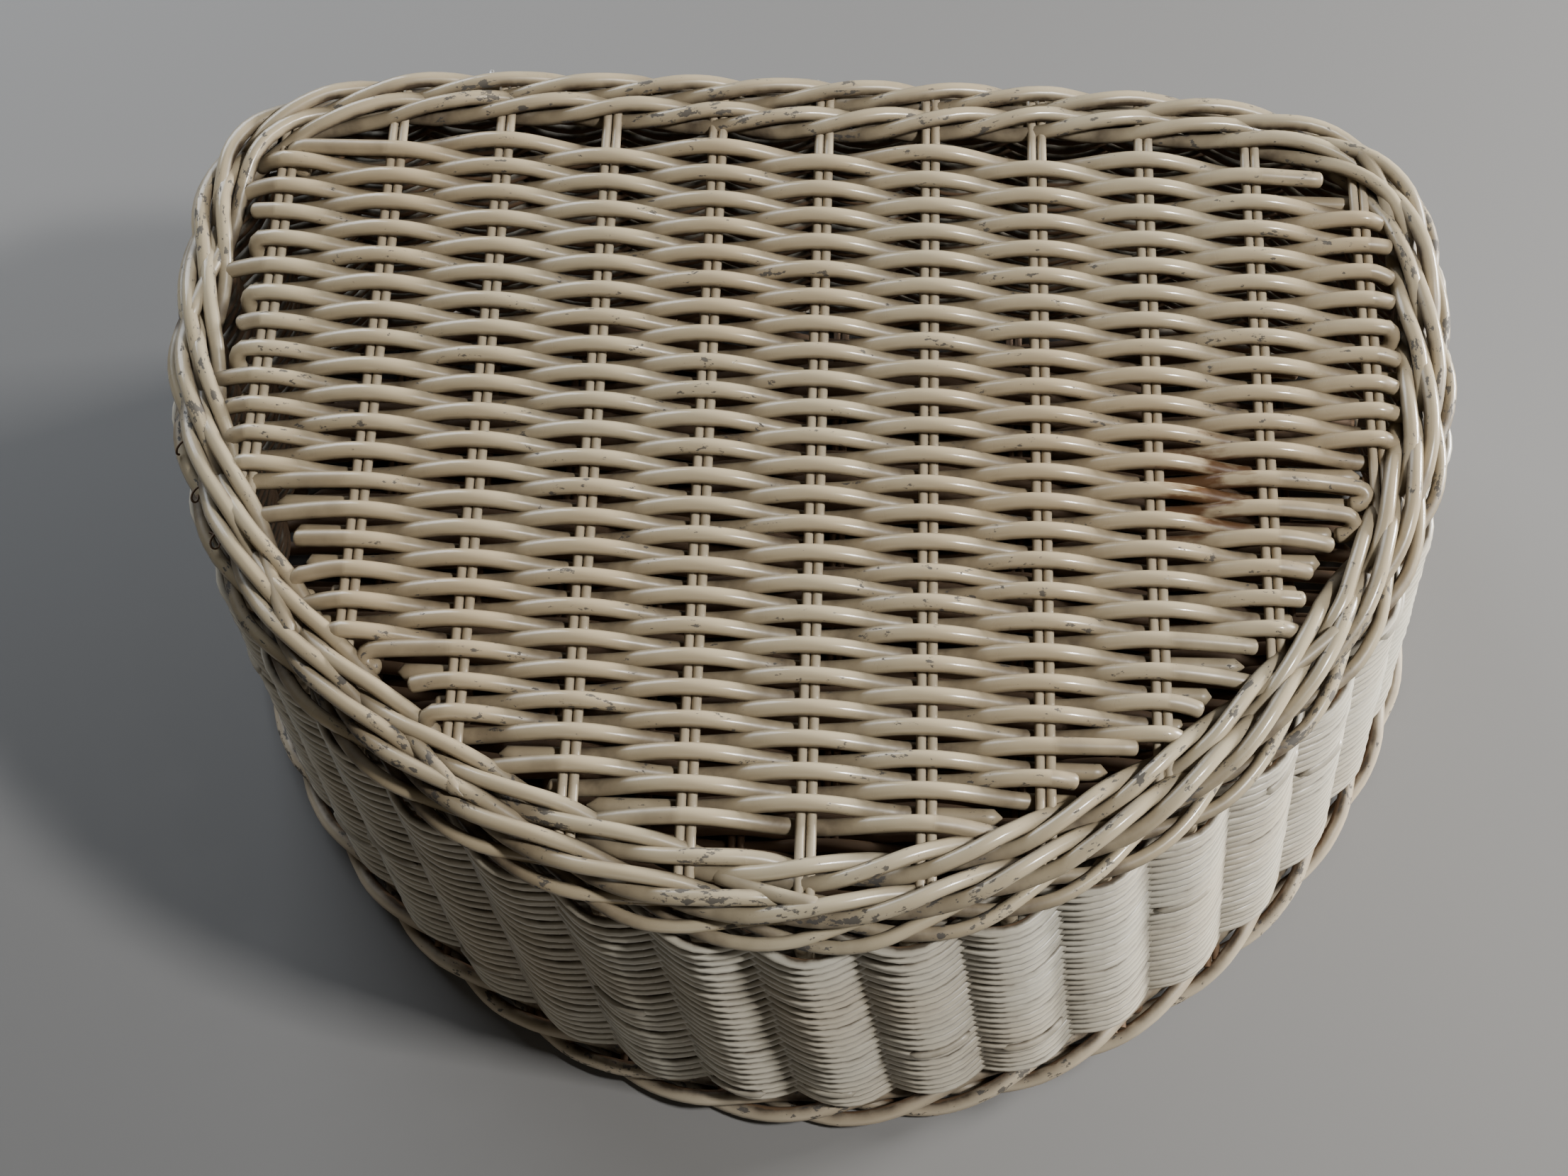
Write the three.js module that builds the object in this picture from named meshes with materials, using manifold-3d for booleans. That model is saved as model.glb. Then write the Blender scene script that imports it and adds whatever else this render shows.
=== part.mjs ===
// A half-moon wicker laundry hamper with a hinged lid.
// Millimetres, +Z up. The straight back is at +Y, the round front at -Y, and z = 0 is the floor.
import * as THREE from 'three';
import { mergeVertices } from 'three/addons/utils/BufferGeometryUtils.js';
import Module from 'manifold-3d';

// ---- Driving dimensions ----
const lidWidth = 480;          // across the lid, from side to side
const lidBack = 110;           // from the lid's widest line to its straight back edge
const lidFront = 233;          // from the widest line to the middle of the round front
const backPower = 4.7;         // how square the back corners are: 2 is an ellipse
const frontPower = 1.86;       // a touch under 2 flattens the round front at its shoulders
const height = 238;            // from the floor to the top of the lid
const flare = 20;              // how much further out the wall's line is at the floor
const lean = 15;               // how far the lid sits to the left of the foot
const stakeCount = 37;         // upright stakes of the wall, an odd number for an endless weave
const stakeDiameter = 7;       // one stake, at the foot
const wallRod = 3.5;           // the thin rods that the wall is woven with
const wallBulge = 6.5;         // how far a wall rod swings to either side of the stakes' line
const wallInset = 3;           // from the lid's outline in to the stakes' line
const pairCount = 11;          // pairs of sticks in the lid, and in the base
const pairEdge = 31.5;         // from the lid's side in to the outermost pair, before the pairs are shifted
const pairShift = 3;           // how far the pairs sit to the right of the lid's middle
const stickDiameter = 3.7;     // one stick
const stickEndInset = 6;       // how far the sticks' ends stay inside the outer face of a border
const weaver = 6.3;            // the thick rods that the lid and the base are woven with
const lidBorderWidth = 26;     // two rows of border rods side by side, at the front and the back
const sideSaving = 7;          // how much narrower the lid's border is at the sides
const rimWidth = 16;           // the narrow border on top of the wall
const rimHeight = 8;
const rimProud = 5;            // how far the rim stands outside the wall's line
const footWidth = 17;          // the border that the hamper stands on
const footHeight = 18;
const footProud = 9;           // how far the foot border stands outside the wall's line
const lidGap = 5;              // open slot between the lid's weave and its border
const loopSpacing = 130;       // between the three hinge loops
const loopRadius = 4;          // to the middle of the wire
const loopWire = 2.2;          // thickness of the wire
const axisAboveRim = 1.5;      // the hinge line lies this far above the rim

// ---- Clearances ----
const touch = 0.3;             // left between pieces that rest on each other
const slide = 0.3;             // round a stick or a stake in the weave
const loopSlide = 0.4;         // round a hinge loop in the borders
const baseClear = weaver / 10.5; // a thicker base weave reaches further up the leaning wall

// ---- Colours ----
const cream = 0xd9cfba;
const shade = 0xc9bfa9;
const zinc = 0x9a9a94;

// ---- Sizes that follow ----
const panelThick = stickDiameter + 2 * weaver;
const lidMiddle = height - panelThick / 2;
const rimTop = height - panelThick - touch;
const rimBottom = rimTop - rimHeight;
const wallBottom = footHeight + touch;
const wallTop = rimBottom - touch;
const wallHalf = wallBulge + wallRod / 2;
const widestLine = (lidFront - lidBack) / 2;
const baseMiddle = footHeight - stickDiameter - weaver / 2;
const outAt = (z) => flare * (1 - z / height);
const leanAt = (z) => -lean * z / height;
const pairPitch = (lidWidth - 2 * pairEdge) / (pairCount - 1);

const wasm = await Module();
wasm.setup();

const plain = (colour) => new THREE.MeshStandardMaterial({ color: colour, roughness: 0.45, metalness: 0 });
const metal = (colour) => new THREE.MeshStandardMaterial({ color: colour, roughness: 0.35, metalness: 0.8 });

// A closed geometry as a solid that can be joined and cut.
function solid(geometry) {
  const bare = geometry.clone();
  bare.deleteAttribute('normal');
  bare.deleteAttribute('uv');
  const merged = mergeVertices(bare, 1e-3);
  return new wasm.Manifold(new wasm.Mesh({
    numProp: 3,
    vertProperties: new Float32Array(merged.attributes.position.array),
    triVerts: new Uint32Array(merged.index.array),
  }));
}

// A solid back as a geometry.
function surface(body) {
  const mesh = body.getMesh();
  const geometry = new THREE.BufferGeometry();
  geometry.setAttribute('position', new THREE.BufferAttribute(mesh.vertProperties, 3));
  geometry.setIndex(new THREE.BufferAttribute(mesh.triVerts, 1));
  geometry.computeVertexNormals();
  return geometry;
}

const cutAll = (geometry, tools) => (
  surface(tools.reduce((body, tool) => body.subtract(solid(tool)), solid(geometry)))
);
const joinAll = (geometry, others) => (
  surface(others.reduce((body, other) => body.add(solid(other)), solid(geometry)))
);

// ---- The half-moon plan ----
// Half of a squarish superellipse behind the widest line meets half of a rounder one in front of it.
// turn is the direction from the middle of the widest line; out is how far outside the lid's outline.
function planPoint(turn, out) {
  const behind = Math.sin(turn) > 0;
  const half = lidWidth / 2 + out;
  const deep = (behind ? lidBack : lidFront) + out;
  const power = behind ? backPower : frontPower;
  const across = Math.abs(Math.cos(turn) / half) ** power;
  const along = Math.abs(Math.sin(turn) / deep) ** power;
  const reach = (across + along) ** (-1 / power);
  return new THREE.Vector2(reach * Math.cos(turn), widestLine + reach * Math.sin(turn));
}

// How far round the plan each direction is, so that stakes can be spaced evenly along the edge.
const planSteps = 3600;
const startTurn = Math.PI / 2;
const lengths = [0];
for (let step = 1; step <= planSteps; step += 1) {
  const from = planPoint(startTurn + 2 * Math.PI * (step - 1) / planSteps, 0);
  const to = planPoint(startTurn + 2 * Math.PI * step / planSteps, 0);
  lengths.push(lengths[step - 1] + from.distanceTo(to));
}

// share runs from 0 to 1 round the edge, anticlockwise from the middle of the back.
function turnAt(share) {
  const wanted = (share % 1) * lengths[planSteps];
  const step = Math.max(1, lengths.findIndex((length) => length >= wanted));
  const part = (wanted - lengths[step - 1]) / (lengths[step] - lengths[step - 1]);
  return startTurn + 2 * Math.PI * (step - 1 + part) / planSteps;
}

// 1 at the left and right ends of the plan, 0 in the middle of the front and of the back.
const atSide = (share) => Math.cos(turnAt(share)) ** 2;

// The plan as a ring of points; out may change round the edge.
function outline(count, out) {
  const points = [];
  for (let i = 0; i < count; i += 1) {
    const share = i / count;
    points.push(planPoint(turnAt(share), typeof out === 'function' ? out(share) : out));
  }
  return points;
}

const hoopShape = (outer, inner) => {
  const shape = new THREE.Shape(outer);
  shape.holes.push(new THREE.Path(inner));
  return shape;
};

// A shape drawn on the plan and raised from one height to another.
function raise(shape, low, high) {
  const geometry = new THREE.ExtrudeGeometry(shape, { depth: high - low, bevelEnabled: false });
  return geometry.translate(0, 0, low);
}

// The wall's own plan is drawn at the floor. Going up, it draws in by the flare and leans to the left.
function drawIn(geometry) {
  const place = geometry.attributes.position;
  const halfAtFloor = lidWidth / 2 + flare;
  for (let i = 0; i < place.count; i += 1) {
    const rise = place.getZ(i) / height;
    const ahead = place.getY(i) - widestLine;
    const deepAtFloor = (ahead > 0 ? lidBack : lidFront) + flare;
    place.setX(i, place.getX(i) * (1 - rise * flare / halfAtFloor) - lean * rise);
    place.setY(i, widestLine + ahead * (1 - rise * flare / deepAtFloor));
  }
  return geometry;
}

// ---- Stakes, wall and rim ----
const edgePoints = 2 * stakeCount;
const wallPoints = 4 * stakeCount;
const stakeSides = 6;

function stakeRing(index, radius) {
  const centre = planPoint(turnAt((index + 0.5) / stakeCount), flare - wallInset);
  const points = [];
  for (let side = 0; side < stakeSides; side += 1) {
    const angle = 2 * Math.PI * side / stakeSides;
    points.push(new THREE.Vector2(centre.x + radius * Math.cos(angle), centre.y + radius * Math.sin(angle)));
  }
  return points;
}

// A stake stands on the foot border and ends under the rim, sealed inside the weave.
function stake(index) {
  const shape = new THREE.Shape(stakeRing(index, stakeDiameter / 2));
  return drawIn(raise(shape, wallBottom, wallTop));
}

// The rim is plaited on top of the wall, and the lid rests on it.
function rimBorder() {
  const outer = flare + rimProud;
  const shape = hoopShape(outline(edgePoints, outer), outline(edgePoints, outer - rimWidth));
  return cutAll(drawIn(raise(shape, rimBottom, rimTop)), hingeLoopTools());
}

// The weave stands out on both sides at every stake and is one rod thick between two stakes.
function wallWeave() {
  const swell = (share) => wallRod / 2 + wallBulge * Math.abs(Math.sin(Math.PI * stakeCount * share));
  const line = flare - wallInset;
  const shape = hoopShape(
    outline(wallPoints, (share) => line + swell(share)),
    outline(wallPoints, (share) => line - swell(share)),
  );
  for (let index = 0; index < stakeCount; index += 1) {
    shape.holes.push(new THREE.Path(stakeRing(index, stakeDiameter / 2 + slide)));
  }
  return drawIn(raise(shape, wallBottom, wallTop));
}

// ---- Woven panels: the lid and the base are made alike ----
// The lid's sticks run through the weave as pieces of their own. The base's are joined with its weave.
const lidPanel = {
  middle: lidMiddle,
  border: [0, (share) => -lidBorderWidth + sideSaving * atSide(share)],
  borderHeights: [height - panelThick, height],
  weave: (share) => -lidBorderWidth - lidGap + sideSaving * atSide(share),
};
const basePanel = {
  middle: baseMiddle,
  border: [flare + footProud, flare + footProud - footWidth],
  borderHeights: [0, footHeight],
  weave: outAt(footHeight) - wallInset - wallHalf - baseClear,
};

// Where the ends of the pair of sticks at x are, inside the border.
function stickSpan(panel, x) {
  const out = panel.border[0] - stickEndInset;
  const half = lidWidth / 2 + out;
  const reach = (deep, power) => (deep + out) * (1 - Math.abs(x / half) ** power) ** (1 / power);
  return [widestLine - reach(lidFront, frontPower), widestLine + reach(lidBack, backPower)];
}

// Two sticks side by side: a flat rod with round edges, drawn across and pushed out from front to back.
function stickPair(panel, x, extra) {
  const radius = stickDiameter / 2;
  const shape = new THREE.Shape();
  shape.absarc(radius, 0, radius + extra, -Math.PI / 2, Math.PI / 2);
  shape.absarc(-radius, 0, radius + extra, Math.PI / 2, 3 * Math.PI / 2);
  const [front, back] = stickSpan(panel, x);
  const depth = back - front + 2 * extra;
  const geometry = new THREE.ExtrudeGeometry(shape, { depth, bevelEnabled: false, curveSegments: 4 });
  return geometry.rotateX(Math.PI / 2).translate(x + leanAt(panel.middle), back + extra, panel.middle);
}

const pairPlaces = [];
for (let pair = 0; pair < pairCount; pair += 1) {
  pairPlaces.push((pair - (pairCount - 1) / 2) * pairPitch + pairShift);
}

const shifted = (panel, geometry) => geometry.translate(leanAt(panel.middle), 0, 0);
const pairs = (panel, extra) => pairPlaces.map((x) => stickPair(panel, x, extra));

function panelSlab(panel) {
  const low = panel.middle - panelThick / 2;
  return shifted(panel, raise(new THREE.Shape(outline(edgePoints, panel.weave)), low, low + panelThick));
}

function panelBorder(panel, moreTools) {
  const [outer, inner] = panel.border;
  const shape = hoopShape(outline(edgePoints, outer), outline(edgePoints, inner));
  return cutAll(shifted(panel, raise(shape, ...panel.borderHeights)), [...pairs(panel, slide), ...moreTools]);
}

// ---- Hinge loops ----
// Each wire loop goes round the lid's back edge and the rim, with its centre on the hinge line.
const loopPlaces = { left: -loopSpacing, middle: 0, right: loopSpacing };

function hingeLoop(x, wire) {
  const geometry = new THREE.TorusGeometry(loopRadius, wire / 2, 6, 16).rotateY(Math.PI / 2);
  return geometry.translate(x + leanAt(lidMiddle), widestLine + lidBack, rimTop + axisAboveRim);
}

function hingeLoopTools() {
  return Object.values(loopPlaces).map((x) => hingeLoop(x, loopWire + 2 * loopSlide));
}

// ---- The hamper ----
const hamper = new THREE.Group();
const lid = new THREE.Group();
hamper.add(lid);

function add(group, name, geometry, material) {
  const mesh = new THREE.Mesh(geometry, material);
  mesh.name = name;
  group.add(mesh);
}

const numbered = (name, index) => `${name}_${String(index + 1).padStart(2, '0')}`;

add(hamper, 'foot_border', panelBorder(basePanel, []), plain(shade));
add(hamper, 'base_weave', joinAll(panelSlab(basePanel), pairs(basePanel, 0)), plain(shade));
add(hamper, 'wall_weave', wallWeave(), plain(cream));
add(hamper, 'rim_border', rimBorder(), plain(cream));
for (let index = 0; index < stakeCount; index += 1) {
  add(hamper, numbered('stake', index), stake(index), plain(cream));
}
add(lid, 'lid_border', panelBorder(lidPanel, hingeLoopTools()), plain(cream));
add(lid, 'lid_weave', cutAll(panelSlab(lidPanel), pairs(lidPanel, slide)), plain(cream));
pairs(lidPanel, 0).forEach((pair, index) => {
  add(lid, numbered('lid_stick_pair', index), pair, plain(cream));
});
for (const [side, x] of Object.entries(loopPlaces)) {
  add(hamper, `hinge_loop_${side}`, hingeLoop(x, loopWire), metal(zinc));
}

export default hamper;
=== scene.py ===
# %% [markdown]
# # A half-moon wicker hamper, painted cream
# The real hamper is woven from rattan rods: a round-fronted wall of thin rods on upright stakes, plaited
# borders at the foot, the rim and the lid, and a lid of thick weavers on pairs of thin sticks. Here every
# visible rod is a real tube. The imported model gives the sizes, the hinge and the bodies, and this script
# only adds the looks around it.

# %% Load the frame
import math
import random

import bpy
import numpy as np
from mathutils import Matrix, Vector


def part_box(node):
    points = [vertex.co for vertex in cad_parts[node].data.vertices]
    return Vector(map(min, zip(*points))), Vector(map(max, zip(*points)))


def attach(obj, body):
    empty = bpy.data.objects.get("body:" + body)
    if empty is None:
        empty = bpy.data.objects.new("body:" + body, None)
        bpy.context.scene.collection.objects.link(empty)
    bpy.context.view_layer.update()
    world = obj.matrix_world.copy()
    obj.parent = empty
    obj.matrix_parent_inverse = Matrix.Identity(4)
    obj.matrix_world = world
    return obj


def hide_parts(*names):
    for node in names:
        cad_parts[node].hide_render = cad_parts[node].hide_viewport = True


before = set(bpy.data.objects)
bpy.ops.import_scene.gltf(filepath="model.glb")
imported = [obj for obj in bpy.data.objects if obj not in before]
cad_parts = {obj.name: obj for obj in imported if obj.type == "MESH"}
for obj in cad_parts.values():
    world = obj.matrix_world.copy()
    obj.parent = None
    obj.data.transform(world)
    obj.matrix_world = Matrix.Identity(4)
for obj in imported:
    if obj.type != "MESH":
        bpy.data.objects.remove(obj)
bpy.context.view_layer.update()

# %% [markdown]
# ## Sizes taken from the frame
# A maker measures the lid, the foot and the wall before weaving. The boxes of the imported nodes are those
# measures. What a box can't tell, such as how square the back corners are, is named here once.

# %% Measures
MM = 0.001
lid_low, lid_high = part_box("lid_border")
foot_low, foot_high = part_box("foot_border")
rim_low, rim_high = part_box("rim_border")
wall_low, wall_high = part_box("wall_weave")
pair_nodes = sorted(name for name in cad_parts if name.startswith("lid_stick_pair_"))
stake_nodes = sorted(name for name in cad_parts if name.startswith("stake_"))
first_pair_low, first_pair_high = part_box(pair_nodes[0])
last_pair_low, last_pair_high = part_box(pair_nodes[-1])

STAKES = len(stake_nodes)
PAIRS = len(pair_nodes)
BACK_POWER = 4.7               # how square the back corners are: 2 is an ellipse
FRONT_POWER = 1.86             # how round the front is
LID_BACK = 110 * MM            # from the lid's widest line to its straight back edge
LID_FRONT = lid_high.y - lid_low.y - LID_BACK
LID_HALF = (lid_high.x - lid_low.x) / 2
WIDEST = lid_high.y - LID_BACK
HEIGHT = lid_high.z
LID_MIDDLE = (lid_low.z + lid_high.z) / 2
LID_SHIFT = (lid_low.x + lid_high.x) / 2
LEAN = -LID_SHIFT * HEIGHT / LID_MIDDLE
FLARE = 20 * MM                # the wall's line is this much further out at the floor
WALL_INSET = 3 * MM            # from the lid's outline in to the stakes' line
STAKE_TWIST = 0.35             # the wall turns by this share of a stake's place from the rim to the foot
PAIR_PITCH = (last_pair_low.x - first_pair_low.x) / (PAIRS - 1)
PAIR_SHIFT = (first_pair_low.x + last_pair_high.x) / 2 - LID_SHIFT
STICK_RADIUS = (first_pair_high.z - first_pair_low.z) / 2
WEAVER_RADIUS = (lid_high.z - lid_low.z) / 4 - STICK_RADIUS / 2
print(f"{STAKES} stakes, {PAIRS} pairs of sticks, lid {2 * LID_HALF:.3f} m wide, {HEIGHT:.3f} m tall")

# %% [markdown]
# ## The half-moon plan
# Seen from above, the hamper is a straight back with square corners that runs into a round front. Two
# halves of a superellipse meet at the widest line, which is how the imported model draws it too. Places round
# the edge are given as a share of its length, so stakes can be spaced evenly.

# %% Plan
def plan_point(turn, out):
    """Points of the outline in the direction turn from the middle, moved outwards by out."""
    behind = np.sin(turn) > 0
    half = LID_HALF + out
    deep = np.where(behind, LID_BACK, LID_FRONT) + out
    power = np.where(behind, BACK_POWER, FRONT_POWER)
    across = np.abs(np.cos(turn) / half) ** power
    along = np.abs(np.sin(turn) / deep) ** power
    reach = (across + along) ** (-1 / power)
    return reach * np.cos(turn), WIDEST + reach * np.sin(turn)


PLAN_STEPS = 3600
plan_turns = np.linspace(0, 2 * np.pi, PLAN_STEPS + 1) + np.pi / 2
plan_x, plan_y = plan_point(plan_turns, 0.0)
walked = np.concatenate([[0], np.cumsum(np.hypot(np.diff(plan_x), np.diff(plan_y)))])
EDGE_LENGTH = walked[-1]


def turn_at(share):
    """The direction of a place round the edge, anticlockwise from the middle of the back."""
    return np.interp(np.mod(share, 1.0), walked / EDGE_LENGTH, plan_turns)


def at_side(x, y):
    """1 at the left and right ends of the plan, 0 in the middle of the front and of the back."""
    return x ** 2 / (x ** 2 + (y - WIDEST) ** 2)


def wall_point(share, out, rise):
    """A point of the wall as an array; rise is 0 at the floor and 1 at the top of the lid."""
    share, out, rise = np.broadcast_arrays(share, out, rise)
    x, y = plan_point(turn_at(share + STAKE_TWIST / STAKES * (1 - rise)), FLARE + out)
    ahead = y - WIDEST
    deep = np.where(ahead > 0, LID_BACK, LID_FRONT) + FLARE
    x = x * (1 - rise * FLARE / (LID_HALF + FLARE)) - LEAN * rise
    y = WIDEST + ahead * (1 - rise * FLARE / deep)
    return np.stack([x, y, rise * HEIGHT], axis=-1)


def level_point(share, out, height):
    """A point of a flat ring, such as a border, at that height."""
    share, out, height = np.broadcast_arrays(share, out, height)
    x, y = plan_point(turn_at(share), out)
    return np.stack([x - LEAN * height / HEIGHT, y, height], axis=-1)


print(f"the lid's edge is {EDGE_LENGTH:.3f} m round")

# %% [markdown]
# ## Helpers for wiring node trees
# A node tree is a recipe: small steps joined by wires. These helpers add one step with its inputs, and keep
# the recipes below short enough to read.

# %% Wiring helpers
def new_tree(name, kind, inputs, outputs):
    """A node tree with named inputs and outputs, and its two end nodes."""
    tree = bpy.data.node_groups.new(name, kind)
    for label, socket_type, default in inputs:
        socket = tree.interface.new_socket(label, in_out="INPUT", socket_type=socket_type)
        if default is not None:
            socket.default_value = default
    for label, socket_type in outputs:
        tree.interface.new_socket(label, in_out="OUTPUT", socket_type=socket_type)
    start = tree.nodes.new("NodeGroupInput").outputs
    end = tree.nodes.new("NodeGroupOutput").inputs
    return tree, start, end


def add_node(tree, kind, inputs=None, **settings):
    """One node: settings first, then each input is linked to a socket or set to a plain value."""
    node = tree.nodes.new(kind)
    for name, value in settings.items():
        setattr(node, name, value)
    for key, value in (inputs or {}).items():
        if isinstance(value, bpy.types.NodeSocket):
            tree.links.new(value, node.inputs[key])
        else:
            node.inputs[key].default_value = value
    return node


def calc(tree, operation, *values):
    """A sum on numbers."""
    return add_node(tree, "ShaderNodeMath", dict(enumerate(values)), operation=operation).outputs[0]


def vector_calc(tree, operation, *values):
    """A sum on vectors; a dot product gives a number."""
    node = add_node(tree, "ShaderNodeVectorMath", dict(enumerate(values)), operation=operation)
    return node.outputs["Value" if operation == "DOT_PRODUCT" else "Vector"]


def spread_over(tree, value, low, high, to_low=0.0, to_high=1.0):
    """Value carried from one range to another, and held at its ends."""
    node = add_node(tree, "ShaderNodeMapRange", {0: value, 1: low, 2: high, 3: to_low, 4: to_high})
    return node.outputs[0]


def noise(tree, place, scale, detail):
    """A cloudy pattern between 0 and 1 for a material."""
    node = add_node(tree, "ShaderNodeTexNoise", {"Vector": place, "Scale": scale, "Detail": detail})
    return node.outputs["Fac"]


def vector_scale(tree, vector, factor):
    node = add_node(tree, "ShaderNodeVectorMath", {"Vector": vector, "Scale": factor}, operation="SCALE")
    return node.outputs["Vector"]


# %% [markdown]
# ## A rod's skin
# A rattan rod is round, nearly as thick all along, and bends smoothly. Lines become curves, and a circle
# swept along them becomes the tube. The tree also writes down what the paint will need: how far along the
# rod and round it a point is (`grain`), and whether it faces the sprayed side (`facing`).

# %% Geometry Nodes: rod skin
UNEVEN_SCALE = 28.0            # how closely the thick and thin spots follow each other along a rod
NO_LENGTH = 1e-6               # keeps a square-ended rod from dividing by zero


def named(tree, name, kind="FLOAT"):
    return add_node(tree, "GeometryNodeInputNamedAttribute", {"Name": name}, data_type=kind).outputs[0]


def stored(tree, geometry, name, value, kind="FLOAT"):
    node = add_node(
        tree, "GeometryNodeStoreNamedAttribute",
        {"Geometry": geometry, "Name": name, "Value": value}, data_type=kind, domain="POINT",
    )
    return node.outputs["Geometry"]


def build_rod_skin():
    tree, start, end = new_tree(
        "Rod skin", "GeometryNodeTree",
        [("Lines", "NodeSocketGeometry", None), ("Closed", "NodeSocketBool", False),
         ("Round End", "NodeSocketFloat", 0.0), ("Rod Radius", "NodeSocketFloat", 0.003),
         ("Sides", "NodeSocketInt", 8), ("Uneven", "NodeSocketFloat", 0.05),
         ("Material", "NodeSocketMaterial", None)],
        [("Geometry", "NodeSocketGeometry")],
    )
    curve = add_node(tree, "GeometryNodeMeshToCurve", {"Mesh": start["Lines"]}).outputs[0]
    curve = add_node(tree, "GeometryNodeSetSplineCyclic", {0: curve, "Cyclic": start["Closed"]}).outputs[0]
    curve = stored(tree, curve, "along", tree.nodes.new("GeometryNodeSplineParameter").outputs["Length"])
    circle = add_node(
        tree, "GeometryNodeCurvePrimitiveCircle",
        {"Resolution": start["Sides"], "Radius": start["Rod Radius"]}, mode="RADIUS",
    ).outputs["Curve"]
    place = tree.nodes.new("GeometryNodeInputPosition").outputs[0]
    circle = stored(tree, circle, "section", place, "FLOAT_VECTOR")
    bumps = add_node(tree, "ShaderNodeTexNoise", {"Vector": place, "Scale": UNEVEN_SCALE, "Detail": 2.0})
    swing = calc(tree, "MULTIPLY", calc(tree, "SUBTRACT", bumps.outputs["Fac"], 0.5), start["Uneven"])
    thickness = calc(tree, "MULTIPLY_ADD", swing, 2.0, 1.0)
    walked_on = tree.nodes.new("GeometryNodeSplineParameter").outputs["Length"]
    whole = tree.nodes.new("GeometryNodeSplineLength").outputs["Length"]
    to_tip = calc(tree, "MINIMUM", walked_on, calc(tree, "SUBTRACT", whole, walked_on))
    to_tip = calc(tree, "ADD", to_tip, 10 * NO_LENGTH)
    to_tip = calc(tree, "DIVIDE", to_tip, calc(tree, "ADD", start["Round End"], NO_LENGTH))
    off_round = calc(tree, "SUBTRACT", 1.0, calc(tree, "MINIMUM", to_tip, 1.0))
    rounded = calc(tree, "SQRT", calc(tree, "SUBTRACT", 1.0, calc(tree, "MULTIPLY", off_round, off_round)))
    tube = add_node(
        tree, "GeometryNodeCurveToMesh",
        {"Curve": curve, "Profile Curve": circle, "Scale": calc(tree, "MULTIPLY", thickness, rounded),
         "Fill Caps": True},
    ).outputs["Mesh"]
    section = add_node(
        tree, "ShaderNodeSeparateXYZ", {"Vector": named(tree, "section", "FLOAT_VECTOR")}).outputs
    grain = add_node(
        tree, "ShaderNodeCombineXYZ",
        {"X": named(tree, "along"), "Y": calc(tree, "ADD", section["X"], named(tree, "rod")),
         "Z": section["Y"]},
    ).outputs[0]
    tube = stored(tree, tube, "grain", grain, "FLOAT_VECTOR")
    normal = tree.nodes.new("GeometryNodeInputNormal").outputs["Normal"]
    facing = vector_calc(tree, "DOT_PRODUCT", normal, named(tree, "outward", "FLOAT_VECTOR"))
    tube = stored(tree, tube, "facing", facing)
    corners = tree.nodes.new("GeometryNodeInputMeshFaceNeighbors").outputs["Vertex Count"]
    not_an_end = calc(tree, "LESS_THAN", corners, 5.0)
    tube = add_node(
        tree, "GeometryNodeSetShadeSmooth", {"Geometry": tube, "Selection": not_an_end}).outputs[0]
    tube = add_node(tree, "GeometryNodeRealizeInstances", {"Geometry": tube}).outputs[0]
    tube = add_node(
        tree, "GeometryNodeSetMaterial", {"Geometry": tube, "Material": start["Material"]}).outputs[0]
    tree.links.new(tube, end["Geometry"])
    return tree


rod_skin = build_rod_skin()
SKIN_INPUTS = ("Round End", "Rod Radius", "Sides", "Uneven", "Material")


def skinned(tree, lines, closed, start):
    group = add_node(tree, "GeometryNodeGroup", node_tree=rod_skin)
    tree.links.new(lines, group.inputs["Lines"])
    tree.links.new(closed, group.inputs["Closed"])
    for label in SKIN_INPUTS:
        tree.links.new(start[label], group.inputs[label])
    return group.outputs["Geometry"]


print("rod skin:", len(rod_skin.nodes), "nodes")

# %% [markdown]
# ## Rods that run round the hamper
# The wall is plain weave: one endless rod goes in front of a stake and behind the next. With an odd number
# of stakes each round falls the other way by itself, so the whole wall is one spiral. The borders are wales:
# three rods that twist round each other like a rope, one turn in three stakes. Both are one rule, a wave
# that swings out and up while it runs round, so one tree makes them all.

# %% Geometry Nodes: rod round the plan
DRIFT_SCALE = 30.0             # how closely a wall or border rod wanders
LAYER_SHARE = 5.0              # rods one above the other wander this much more apart
SEED_TO_ROD = 0.37             # gives each strand its own stretch of the paint's pattern


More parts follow.
